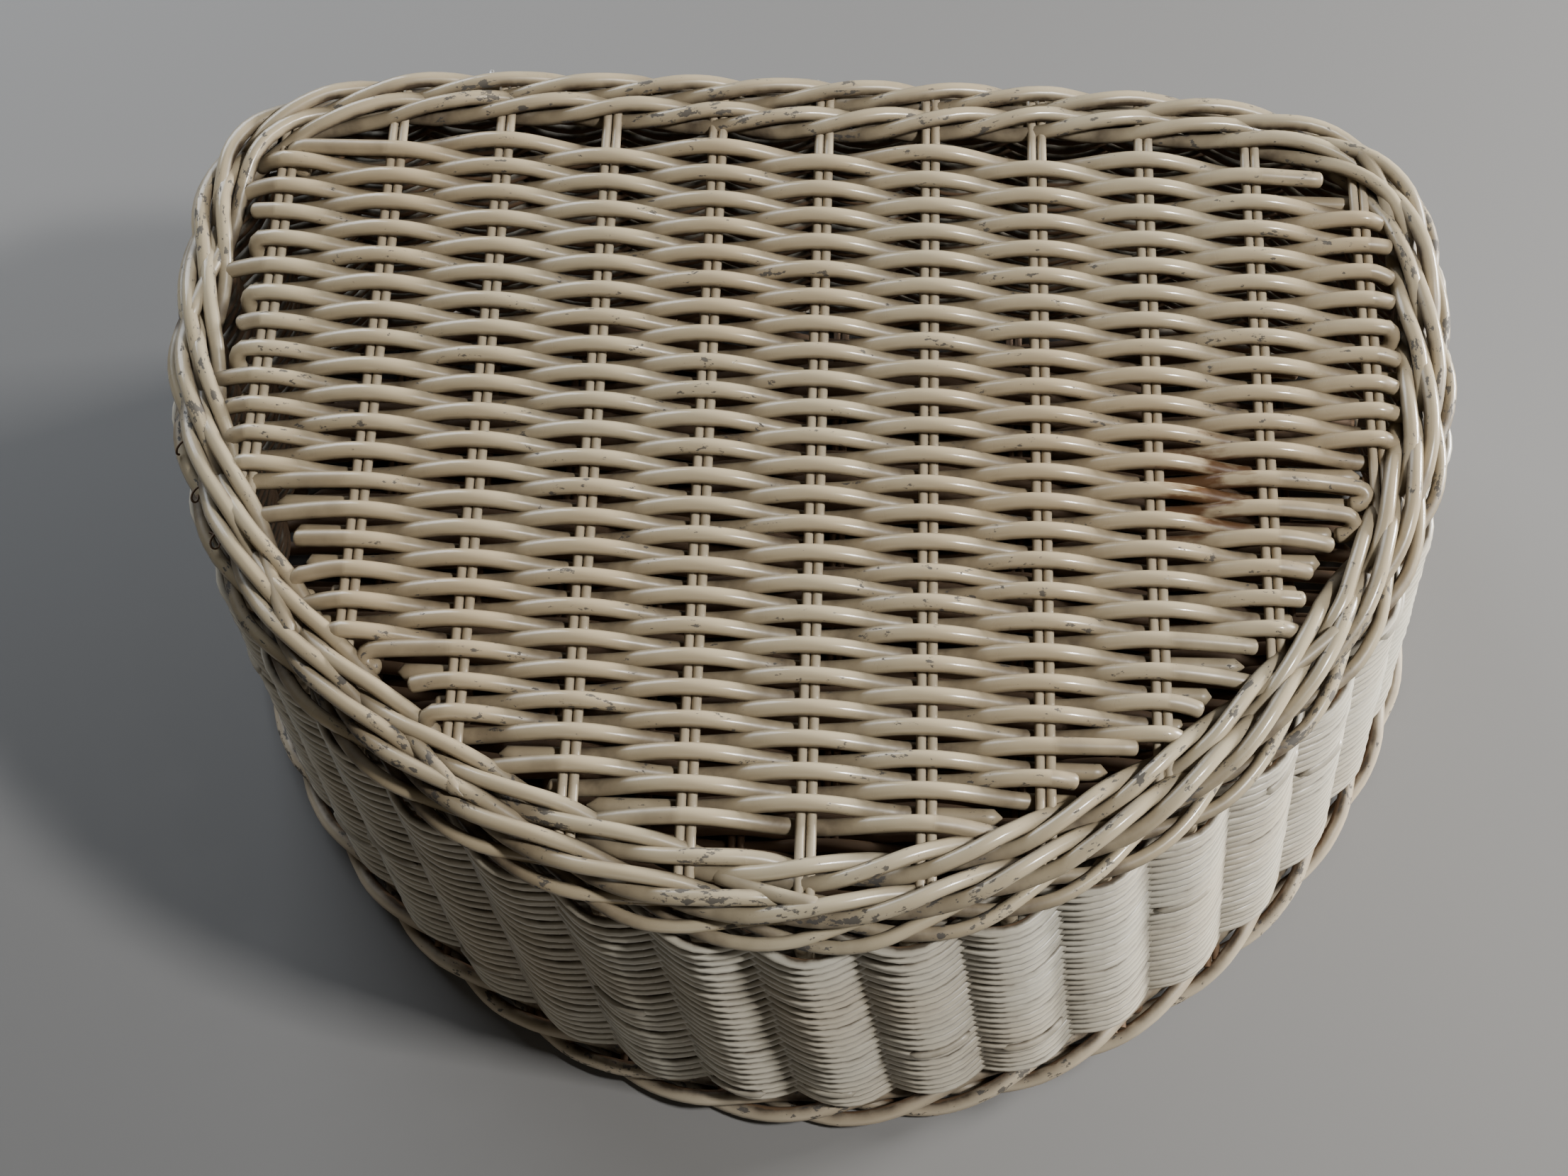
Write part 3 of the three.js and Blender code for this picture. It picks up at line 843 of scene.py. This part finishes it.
def row_end(side, last_x, y, height, over, room, chance):
    """The points past the last pair, from the pair's middle outwards, with room left to the border."""
    style = "hook" if chance.random() < (HOOKED_LEFT if side < 0 else HOOKED_RIGHT) else "cut"
    tail = room - chance.uniform(*END_GAPS) * MM
    sag = chance.uniform(*END_SAGS)
    drift = chance.uniform(*END_DRIFTS) * MM
    if room < TIGHT_ROOM or chance.random() < RUNS_OUT:
        style = "tuck"
        tail = room + TUCK_REACH
        sag = chance.uniform(*TUCK_SAGS)
    if not over:
        reaches = np.linspace(0.2, 1, END_STEPS) * max(tail, SHORTEST_UNDER)
        return [(last_x + side * reach, y, height - ARCH) for reach in reaches]
    points = []
    corner_x = last_x + side * 2 * STICK_RADIUS
    corner_y = y
    rise = ARCH
    if style != "hook" or tail > SHORTEST_TAIL:
        tail = max(tail, SHORTEST_TAIL)
        for part in np.linspace(0, 1, END_STEPS)[1:]:
            rise = ARCH * (1 - sag * part ** SAG_POWER)
            corner_x = last_x + side * tail * part
            corner_y = y - drift * part ** 2
            points.append((corner_x, corner_y, height + rise))
    if style == "hook":
        curl = chance.uniform(*CURLS)
        for angle in np.linspace(0.0, math.pi, END_STEPS)[1:]:
            forward = ROW_PITCH * curl * (0.5 - 0.5 * math.cos(angle))
            points.append((corner_x + side * HOOK_REACH * curl * math.sin(angle), corner_y - forward,
                           height + rise * math.cos(angle)))
    return points + blunt_tip(points)


TIP_STEPS = (0.6, 1.2, 1.6)    # millimetres past the last point
TIP_LENGTH = 2 * MM            # the last part of a rod, where it is rounded off


def blunt_tip(points):
    """Three close points that carry a rod on to its rounded end."""
    last, before = np.array(points[-1]), np.array(points[-2])
    way = (last - before) / np.linalg.norm(last - before)
    return [tuple(last + way * step * MM) for step in TIP_STEPS]


def panel_rows(outline_out, height, shift, seed, gap_to_border, side_saving):
    """All rows of a panel from back to front."""
    chance = random.Random(seed)
    pairs = [PAIR_SHIFT + (pair - (PAIRS - 1) / 2) * PAIR_PITCH for pair in range(PAIRS)]
    back = WIDEST + LID_BACK + outline_out - WEAVER_RADIUS
    front = WIDEST - LID_FRONT - outline_out + WEAVER_RADIUS
    count = int((back - front) / ROW_PITCH) + 1
    rows = []
    for row in range(count):
        y = back - row * ROW_PITCH
        half = half_width_at(y, outline_out + gap_to_border)
        if half > 0:
            half = half_width_at(y, outline_out + gap_to_border + side_saving * at_side(half, y))
        reached = [pair for pair, x in enumerate(pairs) if abs(x) < half]
        if len(reached) < 2:
            continue
        first, last = reached[0], reached[-1]
        x_first, x_last = pairs[first], pairs[last]
        steps = max(2, round((x_last - x_first) / PAIR_PITCH * POINTS_PER_PITCH))
        xs = np.linspace(x_first, x_last, steps + 1)
        sign = 1.0 if row % 2 == 0 else -1.0
        start_sign = sign * (1 if first % 2 == 0 else -1)
        end_sign = sign * (1 if last % 2 == 0 else -1)
        middle = [(shift + x, y, height) for x in xs]
        left = row_end(-1, x_first, y, height, start_sign > 0, half - abs(x_first), chance)[::-1]
        right = row_end(1, x_last, y, height, end_sign > 0, half - abs(x_last), chance)
        left = [(shift + x, py, pz) for x, py, pz in left]
        right = [(shift + x, py, pz) for x, py, pz in right]
        wave_sign = sign * (1 if ((PAIRS - 1) // 2) % 2 == 0 else -1)
        over = [0.0] * len(left) + [wave_sign] * len(middle) + [0.0] * len(right)
        rows.append({"points": left + middle + right, "over": over, "rod": row * WEAVER_GRAIN})
    return rows


def panel_weave(name, outline_out, height, shift, material, seed, gap_to_border, side_saving=0.0,
                sprayed=UP):
    """All weavers of a panel as one piece."""
    rows = panel_rows(outline_out, height, shift, seed, gap_to_border, side_saving)
    for row in rows:
        row["outward"] = sprayed
    values = {"Swing": ARCH, "Pitch": PAIR_PITCH, "Middle": shift + PAIR_SHIFT, "Wander": WEAVER_WANDER,
              "Seed": float(seed), "Round End": TIP_LENGTH, "Rod Radius": WEAVER_RADIUS, "Sides": 12,
              "Uneven": 0.06, "Material": material}
    print(name, "has", len(rows), "rows")
    return make_piece(name, line_guide(name, rows), line_rod, values)


# %% Panel sticks
STICK_POINTS = 14
STICK_GAP = 0.1 * MM           # half the room between the two sticks of a pair
STICK_SLACK = 0.05 * MM        # keeps the wandering sticks off each other
STICK_WANDER = 0.5 * MM
PAIR_GRAIN = 0.41              # these two set each stick on its own stretch of the paint's pattern
SIDE_GRAIN = 0.09


def panel_sticks(name, outline_out, height, shift, material, sprayed=UP):
    """Two round sticks for each pair, from border to border."""
    lines = []
    for pair in range(PAIRS):
        for side in (-1, 1):
            x = PAIR_SHIFT + (pair - (PAIRS - 1) / 2) * PAIR_PITCH + side * (STICK_RADIUS + STICK_GAP)
            reach = 1 - (abs(x) / (LID_HALF + outline_out)) ** np.array([BACK_POWER, FRONT_POWER])
            back = WIDEST + (LID_BACK + outline_out) * reach[0] ** (1 / BACK_POWER)
            front = WIDEST - (LID_FRONT + outline_out) * reach[1] ** (1 / FRONT_POWER)
            points = [(shift + x, y, height) for y in np.linspace(front, back, STICK_POINTS)]
            rod = pair * PAIR_GRAIN + side * SIDE_GRAIN
            lines.append({"points": points, "rod": rod, "outward": sprayed})
    return make_piece(name, line_guide(name, lines), line_rod, {
        "Wander": STICK_WANDER, "Seed": 2.0, "Rod Radius": STICK_RADIUS - STICK_SLACK, "Sides": 10,
        "Uneven": 0.04, "Material": material})


# %% [markdown]
# ## The lid
# Two wales side by side hold the lid's edge, and a dark slot separates them from the woven rows. At the
# lid's left and right the inner wale moves out, because the strands draw together there. The sticks run
# through the inner wale and end inside the outer one.

# %% Lid
LID_BORDER_WIDTH = 26 * MM
LID_GAP = 5 * MM
SIDE_SAVING = 7 * MM           # how much narrower the two wales are together at the lid's sides
STICK_END = 6 * MM             # the sticks stop this far inside the lid's outline
BORDER_ROD = 3.0 * MM
inner_line = SIDE_SAVING * at_side(*plan_point(turn_at(shares), 0.0)) - LID_BORDER_WIDTH * 3 / 4
lid_outer_border = wale("lid_border_outer_rods", -LID_BORDER_WIDTH / 4, lid_low.z, lid_high.z,
                        LID_BORDER_WIDTH / 2, BORDER_ROD, border_paint, 11.0, spray_up=1.6)
lid_inner_border = wale("lid_border_inner_rods", inner_line, lid_low.z, lid_high.z,
                        LID_BORDER_WIDTH / 2, BORDER_ROD, border_paint, 13.0, start=1.3, spray_up=6.0)
lid_weave = panel_weave("lid_weavers", -LID_BORDER_WIDTH - LID_GAP, LID_MIDDLE, LID_SHIFT, lid_paint, 4,
                        LID_GAP, SIDE_SAVING)
lid_sticks = panel_sticks("lid_sticks", -STICK_END, LID_MIDDLE, LID_SHIFT, stick_paint)

# %% [markdown]
# ## The base
# Nobody sees the base until the hamper is emptied or turned over, but it is woven like the lid. It fills
# the foot, and its sticks end in the foot border. It was sprayed from below, so its upper side stayed bare.

# %% Base
base_low, base_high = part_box("base_weave")
BASE_MIDDLE = (base_low.z + base_high.z) / 2
BASE_SHIFT = -LEAN * BASE_MIDDLE / HEIGHT
BASE_OUT = 6.5 * MM            # the base's rows reach this far past the lid's outline
BASE_GAP = 6 * MM
base_weave = panel_weave("base_weavers", BASE_OUT, BASE_MIDDLE, BASE_SHIFT, base_paint, 9, BASE_GAP,
                         sprayed=DOWN)
base_sticks = panel_sticks("base_sticks", FLARE + FOOT_PROUD - STICK_END, BASE_MIDDLE, BASE_SHIFT,
                           base_paint, sprayed=DOWN)

# %% [markdown]
# ## Hinge loops
# The lid is tied to the rim with three loops of galvanised wire, each wound twice round the hinge line. A
# short helix is the honest shape, and the line tree turns it into wire.

# %% Hinge loops
WIRE_RADIUS = 0.75 * MM
LOOP_WINDINGS = 2
LOOP_STEPS = 24
LOOP_GRAIN = 0.5
ZINC_DARK = (0.32, 0.31, 0.29, 1)
ZINC_PALE = (0.6, 0.6, 0.58, 1)
SPANGLE_SCALE = 700.0          # zinc sets in small crystals


def wire_material():
    """Dull galvanised wire."""
    material = bpy.data.materials.new("galvanised_wire")
    material.use_nodes = True
    tree = material.node_tree
    shader = tree.nodes["Principled BSDF"]
    shader.inputs["Metallic"].default_value = 0.85
    place = add_node(tree, "ShaderNodeTexCoord").outputs["Object"]
    spangle = noise(tree, place, SPANGLE_SCALE, 4.0)
    tree.links.new(mixed(tree, spangle, ZINC_DARK, ZINC_PALE), shader.inputs["Base Color"])
    rough = spread_over(tree, spangle, 0.3, 0.7, 0.32, 0.6)
    tree.links.new(rough, shader.inputs["Roughness"])
    return material


def loop_line(node):
    """A short helix in the place of one hinge loop."""
    low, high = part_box(node)
    middle = (low + high) / 2
    radius = (high.z - low.z) / 2 - WIRE_RADIUS
    angles = np.linspace(0, 2 * math.pi * LOOP_WINDINGS, LOOP_WINDINGS * LOOP_STEPS)
    spread = (high.x - low.x) / 2 - WIRE_RADIUS
    xs = middle.x + np.linspace(-spread, spread, len(angles))
    ys = middle.y + radius * np.cos(angles)
    zs = middle.z + radius * np.sin(angles)
    return [{"points": list(zip(xs, ys, zs)), "rod": LOOP_GRAIN}]


wire = wire_material()
loops = {}
for node in ("hinge_loop_left", "hinge_loop_middle", "hinge_loop_right"):
    loops[node] = make_piece(node + "_wire", line_guide(node, loop_line(node)), line_rod, {
        "Rod Radius": WIRE_RADIUS, "Sides": 8, "Uneven": 0.0, "Material": wire})

# %% [markdown]
# ## Loose ends
# No rod is long enough for the whole hamper. Where one runs out, its cut end is left lying on the weave,
# and the next one starts beside it. A few strips of the rattan's skin have split off on the left and
# curled up. All of them are open lines, so the line tree makes them too.

# %% Loose ends: where they are
END_POINTS = 12


def share_towards(degrees):
    """The place round the edge in that direction from the middle; 90 is the middle of the back."""
    turn = math.radians(degrees if degrees >= 90 else degrees + 360)
    return float(np.interp(turn, plan_turns, walked)) / EDGE_LENGTH


def away_from_middle(points):
    """The level direction outwards at each point."""
    ways = (points - (0.0, WIDEST, 0.0)) * (1, 1, 0)
    return ways / np.linalg.norm(ways, axis=1)[:, None]


# %% Loose ends on the wall
WALL_ENDS = 30
WALL_END_START = -0.42         # in stakes from the rib's middle, inside the crevice beside it
WALL_END_STOPS = (0.12, 0.3)   # in stakes, just past the rib's middle
WALL_END_PROUD = (1.2, 2.2)    # millimetres that an end lies on top of the weave
WALL_END_RISES = (0.12, 0.88)  # shares of the height between which ends lie
WALL_END_SLOPE = 0.008
WALL_END_GRAIN = 0.7           # sets each end on its own stretch of the paint's pattern


def wall_end_lines():
    """Rod ends that come out of a crevice, cross one rib and stop just past it."""
    chance = random.Random(21)
    lines = []
    for end in range(WALL_ENDS):
        stake = end * STAKES / WALL_ENDS // 1 + FIRST_STAKE
        parts = np.linspace(WALL_END_START, chance.uniform(*WALL_END_STOPS), END_POINTS)
        parts = parts * chance.choice((-1, 1))
        out = WALL_SWING * np.cos(math.pi * parts) - WALL_INSET + chance.uniform(*WALL_END_PROUD) * MM
        rise = chance.uniform(*WALL_END_RISES) + WALL_END_SLOPE * parts
        points = wall_point((stake + parts) / STAKES, out, rise)
        lines.append({"points": points, "rod": end * WALL_END_GRAIN, "outward": away_from_middle(points)})
    return lines


wall_ends = make_piece("wall_rod_ends", line_guide("wall_ends", wall_end_lines()), line_rod, {
    "Round End": 0.5 * MM, "Rod Radius": WALL_ROD, "Sides": 8, "Uneven": 0.08, "Material": wall_paint})

# %% Loose ends on the border
BORDER_ENDS = (172, 206, 228, 262, 318, 12)  # directions from the middle, in degrees
BORDER_END_SHARE = 0.032       # how far round the edge an end runs
BORDER_END_FROM = -16 * MM     # from between the two wales
BORDER_END_ACROSS = 9.5 * MM   # to the top of the outer one
BORDER_END_DIP = 5 * MM
BORDER_END_SLACK = 0.2 * MM    # an end has dried a little thinner than the border's rods
BORDER_GRAIN = 0.9


def border_end_lines(directions):
    """Border rods that come up between the two wales and end on top of the outer one."""
    lines = []
    for number, degrees in enumerate(directions):
        part = np.linspace(0, 1, END_POINTS)
        share = share_towards(degrees) + BORDER_END_SHARE * part
        height = lid_high.z - BORDER_ROD - BORDER_END_DIP * (1 - part) ** 2
        points = level_point(share, BORDER_END_FROM + BORDER_END_ACROSS * part, height)
        lines.append({"points": points, "rod": number * BORDER_GRAIN + 0.3})
    return lines


border_end_guide = line_guide("border_ends", border_end_lines(BORDER_ENDS))
border_ends = make_piece("border_rod_ends", border_end_guide, line_rod, {
    "Round End": TIP_LENGTH, "Rod Radius": BORDER_ROD - BORDER_END_SLACK, "Sides": 12, "Uneven": 0.06,
    "Material": border_paint})

# %% Split skin
SPLITS = (193, 198, 203)       # directions from the middle, in degrees
SPLIT_RADIUS = 0.45 * MM
SPLIT_FROM = -7 * MM           # a strip starts inside the border
SPLIT_ACROSS = 13 * MM
SPLIT_ROOT = 4 * MM            # above the underside of the lid
SPLIT_DROP = 6 * MM
SPLIT_TURN = 5.5               # radians that the first strip curls through
SPLIT_REACH = 3.5              # millimetres that its curl opens to
SPLIT_LIFT = 0.3
SPLIT_GRAIN = 0.5


def split_lines(directions):
    """Curls of split skin that hang from the lid's border, each a little larger than the last."""
    lines = []
    for number, degrees in enumerate(directions):
        part = np.linspace(0, 1, 3 * END_POINTS)
        height = lid_low.z + SPLIT_ROOT - SPLIT_DROP * part
        points = level_point(share_towards(degrees), SPLIT_FROM + SPLIT_ACROSS * part, height)
        angle = (SPLIT_TURN + number) * part
        reach = (SPLIT_REACH + number) * MM * part
        curl = np.stack([reach * np.cos(angle), reach * np.sin(angle), reach * SPLIT_LIFT], axis=-1)
        lines.append({"points": points + curl, "rod": number * SPLIT_GRAIN})
    return lines


# The raw strips darken in their crevices too: part dust, part painted shade.
raw_paint = paint("raw_rattan", RATTAN, RATTAN_CREVICE, "swung_up", shade_and_dirt=0.4, roughness=0.6)
split_skin = make_piece("split_skin", line_guide("split_skin", split_lines(SPLITS)), line_rod, {
    "Rod Radius": SPLIT_RADIUS, "Sides": 5, "Uneven": 0.1, "Material": raw_paint})

# %% [markdown]
# ## Pieces ride on their bodies
# Everything woven into the lid turns with the lid, and the rest stands on the floor. Each piece replaces
# the plain solid that held its place.

# %% Riding and replacing
def settle(piece, body, finish, *nodes):
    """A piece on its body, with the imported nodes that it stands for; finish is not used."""
    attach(piece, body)
    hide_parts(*nodes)


settle(foot_border, "hamper", "painted_border_rods", "foot_border")
settle(rim_border, "hamper", "painted_border_rods", "rim_border")
settle(lower_wall, "hamper", "painted_wall_rods", "wall_weave")
settle(upper_wall, "hamper", "painted_wall_rods", "wall_weave")
settle(stakes, "hamper", "painted_stakes", *stake_nodes)
settle(base_weave, "hamper", "painted_weavers", "base_weave")
settle(base_sticks, "hamper", "painted_sticks", "base_weave")
settle(wall_ends, "hamper", "painted_wall_rods", "wall_weave")
settle(border_ends, "lid", "painted_border_rods", "lid_border")
settle(split_skin, "lid", "painted_border_rods", "lid_border")
settle(lid_outer_border, "lid", "painted_border_rods", "lid_border")
settle(lid_inner_border, "lid", "painted_border_rods", "lid_border")
settle(lid_weave, "lid", "painted_weavers", "lid_weave")
settle(lid_sticks, "lid", "painted_sticks", *pair_nodes)
for node, loop in loops.items():
    settle(loop, "hamper", "zinc_wire", node)

# %% [markdown]
# ## Floor, light and camera
# A plain pale floor and four soft lights. The strongest is a low window on the right and a little behind,
# which rakes over the ribs and leaves the left of the hamper in shade. A smaller lamp on the right, above
# the lid, puts the sheen on the weavers. A far window on the left and a glow from the room fill the shade.
# The camera looks steeply down at the lid from in front, turned a little clockwise.

# %% Floor
FLOOR_REACH = 6.0
FLOOR_COLOUR = (0.18, 0.178, 0.175, 1)
FLOOR_ROUGHNESS = 0.7


def make_floor():
    mesh = bpy.data.meshes.new("floor")
    corners = [(x * FLOOR_REACH, y * FLOOR_REACH, 0.0) for x, y in ((-1, -1), (1, -1), (1, 1), (-1, 1))]
    mesh.from_pydata(corners, [], [(0, 1, 2, 3)])
    floor = bpy.data.objects.new("floor", mesh)
    bpy.context.scene.collection.objects.link(floor)
    material = bpy.data.materials.new("pale_floor")
    material.use_nodes = True
    shader = material.node_tree.nodes["Principled BSDF"]
    shader.inputs["Roughness"].default_value = FLOOR_ROUGHNESS
    shader.inputs["Base Color"].default_value = FLOOR_COLOUR
    mesh.materials.append(material)


make_floor()
print(f"floor: {2 * FLOOR_REACH} m square")


# %% Lights
DAYLIGHT = (1.0, 0.985, 0.96)
SHADE_BLUE = (0.86, 0.92, 1.0)
ROOM_CREAM = (1.0, 0.96, 0.88)
GLOW_COLOUR = (1.0, 0.88, 0.72, 1)
GLOW_STRENGTH = 0.045


def area_light(name, place, target, size, power, colour):
    """A square light of that size and power, at a place and pointed at a target."""
    light = bpy.data.lights.new(name, "AREA")
    light.shape = "SQUARE"
    light.size = size
    light.energy = power
    light.color = colour
    lamp = bpy.data.objects.new(name, light)
    bpy.context.scene.collection.objects.link(lamp)
    lamp.location = place
    way = np.array(target) - np.array(place)
    way = way / np.linalg.norm(way)
    lamp.rotation_euler = (math.acos(-way[2]), 0.0, math.atan2(way[1], way[0]) - math.pi / 2)


area_light("window", (1.9, 0.72, 0.5), (0.0, 0.0, 0.1), size=0.5, power=106.0, colour=DAYLIGHT)
area_light("lamp", (1.05, -0.3, 1.75), (0.0, 0.0, 0.2), size=0.2, power=37.0, colour=DAYLIGHT)
area_light("far_window", (-1.0, 1.3, 0.7), (-0.6, 0.5, 0.0), size=1.1, power=30.0, colour=SHADE_BLUE)
area_light("room", (-0.2, -2.4, 0.7), (0.0, 0.0, 0.1), size=1.2, power=4.0, colour=ROOM_CREAM)
world = bpy.data.worlds.new("room")
world.use_nodes = True
glow = world.node_tree.nodes["Background"].inputs
glow["Color"].default_value = GLOW_COLOUR
glow["Strength"].default_value = GLOW_STRENGTH
bpy.context.scene.world = world
print("lights:", len(bpy.data.lights))

# %% Camera
SENSOR_WIDTH = 36.0
LENS = 54.07
LOOKS_DOWN = math.radians(67.5)
TURNED = math.radians(1.8)
CAMERA_PLACE = (-0.0217, -0.3715, 1.016)


def make_camera():
    data = bpy.data.cameras.new("camera")
    data.sensor_width = SENSOR_WIDTH
    data.lens = LENS
    camera = bpy.data.objects.new("camera", data)
    bpy.context.scene.collection.objects.link(camera)
    forward = Vector((0.0, math.cos(LOOKS_DOWN), -math.sin(LOOKS_DOWN)))
    right = Vector((1.0, 0.0, 0.0))
    up = Vector((0.0, math.sin(LOOKS_DOWN), math.cos(LOOKS_DOWN)))
    across = math.cos(TURNED) * right + math.sin(TURNED) * up
    upward = -math.sin(TURNED) * right + math.cos(TURNED) * up
    turn = Matrix((across, upward, -forward)).transposed().to_4x4()
    turn.translation = Vector(CAMERA_PLACE)
    camera.matrix_world = turn
    bpy.context.scene.camera = camera


make_camera()
print(f"camera: {LENS} mm lens, {CAMERA_PLACE[2]} m above the floor")
